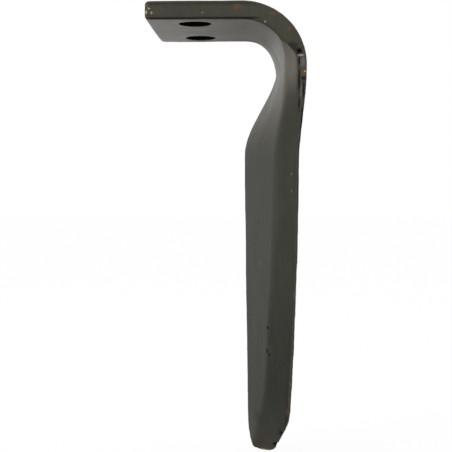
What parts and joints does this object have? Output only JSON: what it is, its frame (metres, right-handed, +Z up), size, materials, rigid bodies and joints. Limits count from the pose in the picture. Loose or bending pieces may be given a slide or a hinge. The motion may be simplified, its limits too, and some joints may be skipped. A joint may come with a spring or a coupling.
{
  "type": "rotary harrow tine",
  "caption": "Forged rotary harrow tine: flat mounting flange with bolt holes, quarter bend, twisted neck and a flat blade with a bevelled leading edge and a worn, cropped tip.",
  "frame": {"origin": "midway between the two bolt holes, on the flange's mounting face", "axes": "+Z up out of the mounting face, +X from the flange's free end to the blade, which hangs down along -Z; the bevelled leading edge of the blade is on the -Y side"},
  "size_m": [0.1029, 0.1, 0.3],
  "materials": {
    "forged_steel": "quenched and oil-blackened forged steel, semi-gloss, with thin brown scale along its edges"
  },
  "bodies": {
    "root": {"tine": "forged_steel"}
  },
  "joints": []
}
